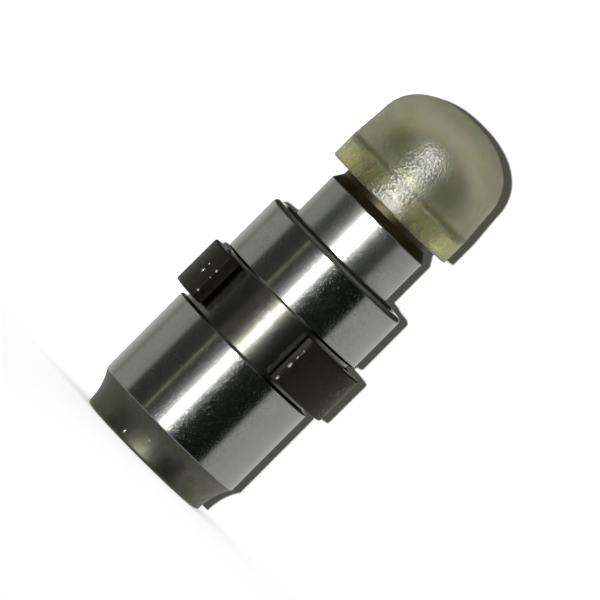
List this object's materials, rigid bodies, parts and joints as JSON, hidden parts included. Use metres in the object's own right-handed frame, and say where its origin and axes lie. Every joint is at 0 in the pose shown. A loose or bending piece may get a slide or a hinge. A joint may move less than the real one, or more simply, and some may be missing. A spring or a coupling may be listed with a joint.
{
  "type": "hydraulic valve lifter",
  "caption": "Hydraulic lash adjuster: ground steel body with an open clip in its oil groove, sprung ball plunger with check valve, and a pull-off plastic cap.",
  "frame": {"origin": "centre of the body's flat closed end, which the lifter stands on", "axes": "+Z along the axis from the closed end to the ball head; the clip's gap faces -Y, a little towards -X; the body's feed hole faces +Y"},
  "size_m": [0.0162, 0.0155, 0.0376],
  "materials": {
    "ground_steel": "ground bright on the lands, with fine marks round the axis, and as heat treated in the groove and on the tapered end",
    "dark_steel": "dark, as heat treated, with a thin film of oil",
    "spring_steel": "plain drawn wire and pressed sheet, oiled",
    "natural_plastic": "translucent natural plastic with a fine spark-eroded texture"
  },
  "bodies": {
    "housing": {"body": "ground_steel", "mouth_retaining_ring": "dark_steel", "plunger_return_spring": "spring_steel"},
    "pump_piston": {"leak_down_piston": "ground_steel", "check_valve_cage": "spring_steel", "check_ball_spring": "spring_steel"},
    "check_valve": {"check_ball": "ground_steel"},
    "ball_plunger": {"plunger": "ground_steel"},
    "cap": {"protective_cap": "natural_plastic"},
    "clip": {"retaining_clip": "dark_steel"}
  },
  "joints": [
    {"name": "plunger_slide", "type": "slide", "parent": "housing", "child": "pump_piston", "axis": [0, 0, -1], "range_m": [0, 0.003], "stiffness_N_per_m": 1750, "springref_m": -0.001, "deforming": ["plunger_return_spring"]},
    {"name": "plunger_turn", "type": "hinge", "parent": "pump_piston", "child": "ball_plunger", "pos_m": [0, 0, 0.0144], "axis": [0, 0, 1], "continuous": true},
    {"name": "check_ball_lift", "type": "slide", "parent": "pump_piston", "child": "check_valve", "axis": [0, 0, -1], "range_m": [0, 0.0003], "stiffness_N_per_m": 20, "springref_m": -0.0002, "deforming": ["check_ball_spring"]},
    {"name": "cap_pull", "type": "slide", "parent": "ball_plunger", "child": "cap", "axis": [0, 0, 1], "range_m": [0, 0.008]},
    {"name": "clip_turn", "type": "hinge", "parent": "housing", "child": "clip", "pos_m": [0, 0, 0.01418], "axis": [0, 0, 1], "continuous": true}
  ]
}
